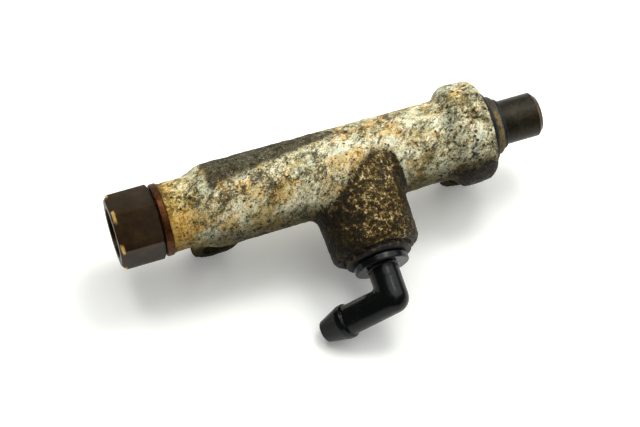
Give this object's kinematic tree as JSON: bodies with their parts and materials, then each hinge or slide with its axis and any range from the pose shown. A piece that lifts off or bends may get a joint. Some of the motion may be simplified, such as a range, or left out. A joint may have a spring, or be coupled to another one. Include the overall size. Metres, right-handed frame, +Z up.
{
  "type": "brake master cylinder",
  "caption": "Tubular hydraulic master cylinder with a hexagon outlet plug, a side boss with a right-angle hose connector, bolt lugs and a sprung plunger.",
  "frame": {"origin": "on the bore axis at the mouth of the outlet thread, on the floor of the counterbore in the hexagon", "axes": "+X along the bore from the outlet to the plunger, +Z up; the casting is rolled 12 degrees about its bore, as it lies on its lugs and the tip of the hose connector"},
  "size_m": [0.129, 0.0603, 0.0407],
  "materials": {
    "cast_aluminium": "weathered sand-rough casting, stained and pitted",
    "plug_steel": "dark brown oxidised steel, corners worn bright",
    "copper": "tarnished copper",
    "brass": "turned brass",
    "zinc_steel": "zinc plated pressing",
    "spring_steel": "drawn spring wire",
    "nylon": "natural nylon",
    "rubber": "black rubber with settled ochre dust",
    "machined_aluminium": "turned aluminium",
    "plunger_steel": "bronze-brown oxidised ground steel",
    "moulded_plastic": "black glossy injection moulding"
  },
  "bodies": {
    "housing": {"cylinder_body": "cast_aluminium", "outlet_plug": "plug_steel", "plug_washer": "copper", "tube_seat": "brass", "spring_seat": "zinc_steel", "return_spring": "spring_steel", "guide_bush": "nylon", "stop_washer": "zinc_steel", "circlip": "spring_steel", "dust_boot": "rubber", "boot_ring": "spring_steel", "reservoir_grommet": "rubber"},
    "plunger_group": {"spring_cap": "zinc_steel", "primary_cup": "rubber", "cup_shim": "zinc_steel", "piston": "machined_aluminium", "secondary_cup": "rubber", "plunger": "plunger_steel"},
    "hose_connector": {"hose_elbow": "moulded_plastic"}
  },
  "joints": [
    {"name": "piston_stroke", "type": "slide", "parent": "housing", "child": "plunger_group", "axis": [-1, 0, 0], "range_m": [0, 0.01], "stiffness_N_per_m": 1500, "springref_m": -0.01, "deforming": ["return_spring"]},
    {"name": "connector_swivel", "type": "hinge", "parent": "housing", "child": "hose_connector", "pos_m": [0.065, -0.02934, -0.00624], "axis": [0, -0.9781, -0.2079], "continuous": true}
  ]
}
